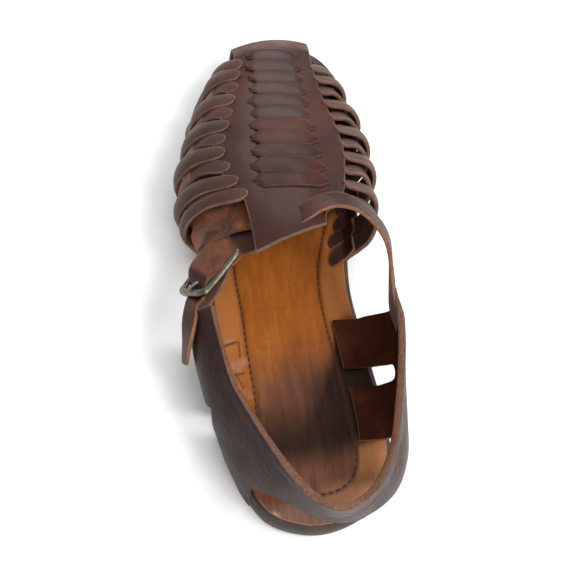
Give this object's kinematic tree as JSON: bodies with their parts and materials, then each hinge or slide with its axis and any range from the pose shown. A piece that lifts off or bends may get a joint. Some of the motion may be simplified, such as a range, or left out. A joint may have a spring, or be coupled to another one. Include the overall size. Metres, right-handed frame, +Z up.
{
  "type": "fisherman sandal",
  "caption": "Left fisherman sandal: woven leather vamp with a toe band, open heel band, buckled instep strap, leather insole and a flat rubber sole.",
  "frame": {"origin": "on the floor, under the middle of the sandal's box", "axes": "+Y from heel to toe, +X from the outer side of the foot to the inner side, +Z up"},
  "size_m": [0.1102, 0.2912, 0.0721],
  "materials": {
    "sole_rubber": "matt, scuffed edge",
    "insole_leather": "worn smooth, glossy at the heel",
    "upper_leather": "waxed, soft sheen",
    "buckle_metal": "aged"
  },
  "bodies": {
    "root": {"outsole": "sole_rubber", "insole": "insole_leather", "upper": "upper_leather", "buckle_frame": "buckle_metal", "buckle_prong": "buckle_metal"}
  },
  "joints": []
}
